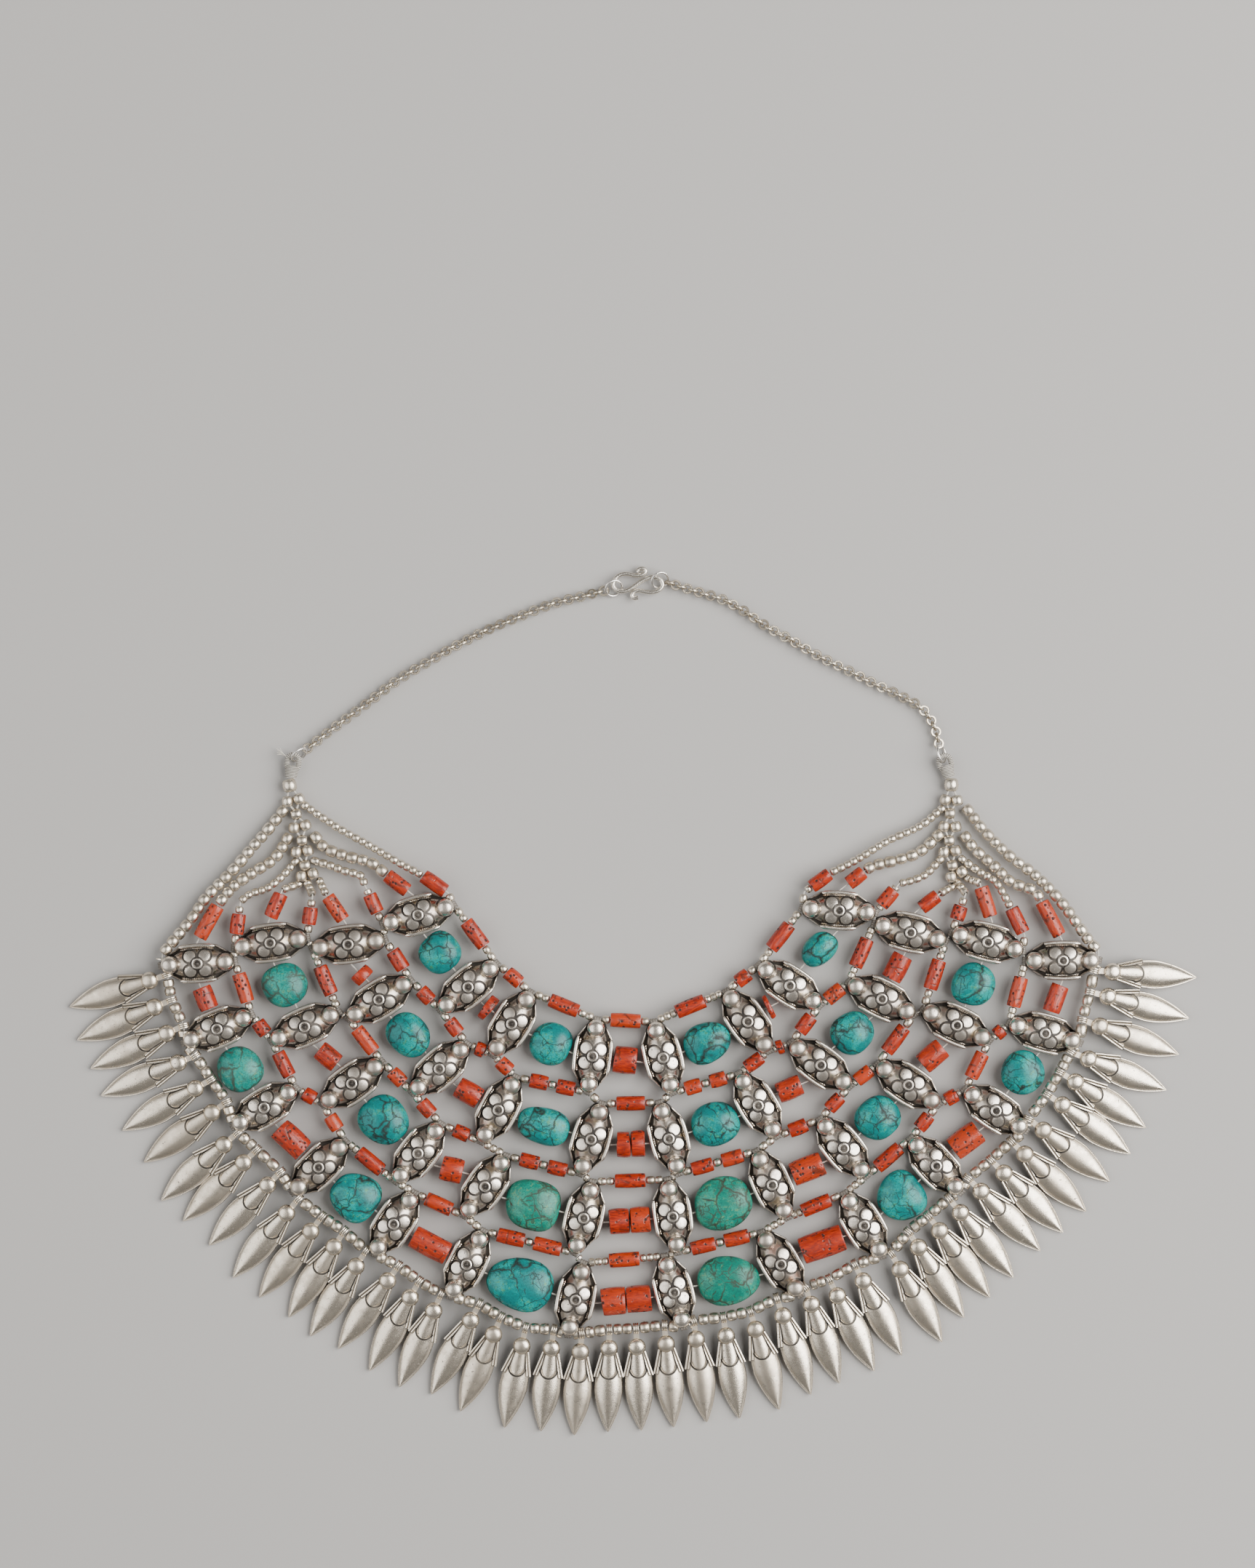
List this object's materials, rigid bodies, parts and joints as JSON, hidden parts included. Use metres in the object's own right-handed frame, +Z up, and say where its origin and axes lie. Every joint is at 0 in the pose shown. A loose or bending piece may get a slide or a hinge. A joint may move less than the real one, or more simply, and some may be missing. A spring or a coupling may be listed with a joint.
{
  "type": "beaded bib necklace",
  "caption": "Broad bib necklace of silver flower beads, turquoise and coral on crossing strings, fringed with leaf pendants and closed by two chains and an S-hook.",
  "frame": {"origin": "on the table under the middle of the necklace's own box", "axes": "+X from the picture's left to its right across the bib, +Y towards the hook at the nape, +Z up from the table"},
  "size_m": [0.3112, 0.2398, 0.0082],
  "materials": {
    "flower_silver": "worn cast silver with dark oxidised grooves and patches of coloured tarnish",
    "pendant_silver": "satin silver with bright worn edges",
    "seed_silver": "polished silver beads, darker round the holes",
    "chain_silver": "warm grey worn silver links",
    "ring_silver": "bright round silver wire",
    "hook_silver": "smooth drawn silver wire",
    "turquoise": "polished blue-green pebbles with brown and black matrix",
    "coral": "satin orange-red coral with fine grain and pits",
    "bound_thread": "metallic grey thread bound round a cord"
  },
  "bodies": {
    "root": {"flower_beads_row_1": "flower_silver", "flower_beads_row_2": "flower_silver", "flower_beads_row_3": "flower_silver", "flower_beads_row_4": "flower_silver", "turquoise_row_1_1": "turquoise", "turquoise_row_1_2": "turquoise", "turquoise_row_1_3": "turquoise", "turquoise_row_1_4": "turquoise", "turquoise_row_2_1": "turquoise", "turquoise_row_2_2": "turquoise", "turquoise_row_2_3": "turquoise", "turquoise_row_2_4": "turquoise", "turquoise_row_3_1": "turquoise", "turquoise_row_3_2": "turquoise", "turquoise_row_3_3": "turquoise", "turquoise_row_3_4": "turquoise", "turquoise_row_3_5": "turquoise", "turquoise_row_3_6": "turquoise", "turquoise_row_4_1": "turquoise", "turquoise_row_4_2": "turquoise", "turquoise_row_4_3": "turquoise", "turquoise_row_4_4": "turquoise", "turquoise_row_4_5": "turquoise", "turquoise_row_4_6": "turquoise", "row_corals_1": "coral", "strand_corals_1": "coral", "row_corals_2": "coral", "strand_corals_2": "coral", "row_corals_3": "coral", "strand_corals_3": "coral", "row_corals_4": "coral", "strand_corals_4": "coral", "pendants_left": "pendant_silver", "pendants_right": "pendant_silver", "edge_string_1": "seed_silver", "edge_string_2": "seed_silver", "edge_string_3": "seed_silver", "edge_string_4": "seed_silver", "edge_string_5": "seed_silver", "row_string_1": "seed_silver", "row_string_2": "seed_silver", "row_string_3": "seed_silver", "row_string_4": "seed_silver", "bead_column_left": "seed_silver", "thread_loop_left": "bound_thread", "loop_ring_left": "ring_silver", "chain_left": "chain_silver", "hook_ring_left": "ring_silver", "bead_column_right": "seed_silver", "thread_loop_right": "bound_thread", "loop_ring_right": "ring_silver", "chain_right": "chain_silver", "hook_ring_right": "ring_silver", "s_hook": "hook_silver"}
  },
  "joints": []
}
